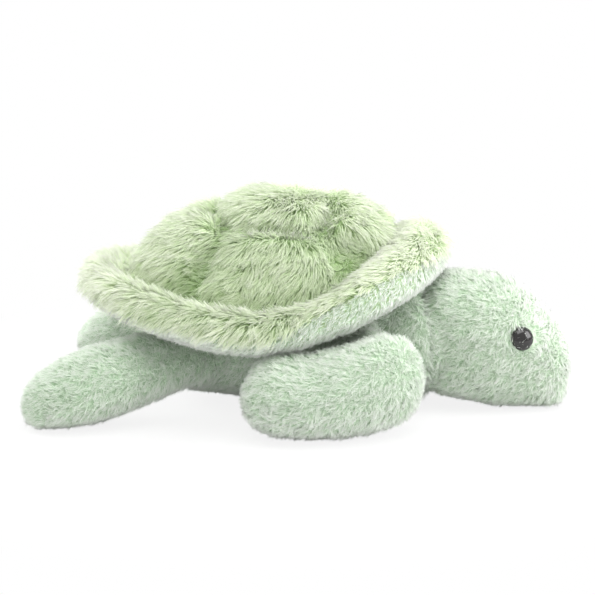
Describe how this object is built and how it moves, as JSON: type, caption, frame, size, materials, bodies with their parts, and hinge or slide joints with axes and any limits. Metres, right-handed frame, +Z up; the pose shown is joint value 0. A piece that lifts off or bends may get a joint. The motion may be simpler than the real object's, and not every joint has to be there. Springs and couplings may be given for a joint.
{
  "type": "plush sea turtle",
  "caption": "Stuffed plush sea turtle lying on its belly, with a quilted shell, a stuffed rim, flippers that swing and a head that turns and nods.",
  "frame": {"origin": "on the floor under the middle of the toy's bounding box", "axes": "+X to the snout, +Y to the turtle's left, +Z up from the floor"},
  "size_m": [0.3165, 0.2306, 0.131],
  "materials": {
    "body_pile": "short matted pile, pale sage green",
    "shell_pile": "long silky pile, pale yellow green, darker at the roots",
    "stuffing": "loose white polyester fibre",
    "eye": "polished black dome",
    "washer": "natural moulded plastic"
  },
  "bodies": {
    "torso": {"torso_upper_cover": "body_pile", "belly_panel": "body_pile", "torso_filling": "stuffing", "shell_dome_cover": "shell_pile", "shell_rim_cover": "shell_pile", "shell_underside": "body_pile", "shell_filling": "stuffing", "rim_filling": "stuffing"},
    "neck": {"neck_cover": "body_pile", "neck_filling": "stuffing"},
    "head": {"head_cover_right": "body_pile", "head_cover_left": "body_pile", "head_filling": "stuffing", "eye_right": "eye", "eye_left": "eye", "eye_washer_right": "washer", "eye_washer_left": "washer"},
    "front_flipper_right": {"front_flipper_top_right": "body_pile", "front_flipper_underside_right": "body_pile", "front_flipper_filling_right": "stuffing"},
    "front_flipper_left": {"front_flipper_top_left": "body_pile", "front_flipper_underside_left": "body_pile", "front_flipper_filling_left": "stuffing"},
    "rear_flipper_right": {"rear_flipper_top_right": "body_pile", "rear_flipper_underside_right": "body_pile", "rear_flipper_filling_right": "stuffing"},
    "rear_flipper_left": {"rear_flipper_top_left": "body_pile", "rear_flipper_underside_left": "body_pile", "rear_flipper_filling_left": "stuffing"}
  },
  "joints": [
    {"name": "neck_turn", "type": "hinge", "parent": "torso", "child": "neck", "pos_m": [0.0525, 0, 0.042], "axis": [0, 0, 1], "range_deg": [-15, 15], "stiffness_Nm_per_rad": 0.15},
    {"name": "head_nod", "type": "hinge", "parent": "neck", "child": "head", "pos_m": [0.0825, 0, 0.042], "axis": [0, -1, 0], "range_deg": [-12, 15], "stiffness_Nm_per_rad": 0.3},
    {"name": "front_flipper_right_sweep", "type": "hinge", "parent": "torso", "child": "front_flipper_right", "pos_m": [0.0445, -0.055, 0.039], "axis": [0, 0, 1], "range_deg": [0, 40], "stiffness_Nm_per_rad": 0.1},
    {"name": "front_flipper_left_sweep", "type": "hinge", "parent": "torso", "child": "front_flipper_left", "pos_m": [0.0445, 0.055, 0.039], "axis": [0, 0, -1], "range_deg": [0, 40], "stiffness_Nm_per_rad": 0.1},
    {"name": "rear_flipper_right_sweep", "type": "hinge", "parent": "torso", "child": "rear_flipper_right", "pos_m": [-0.0675, -0.046, 0.034], "axis": [0, 0, 1], "range_deg": [-20, 20], "stiffness_Nm_per_rad": 0.1},
    {"name": "rear_flipper_left_sweep", "type": "hinge", "parent": "torso", "child": "rear_flipper_left", "pos_m": [-0.0675, 0.046, 0.034], "axis": [0, 0, -1], "range_deg": [-20, 20], "stiffness_Nm_per_rad": 0.1}
  ]
}
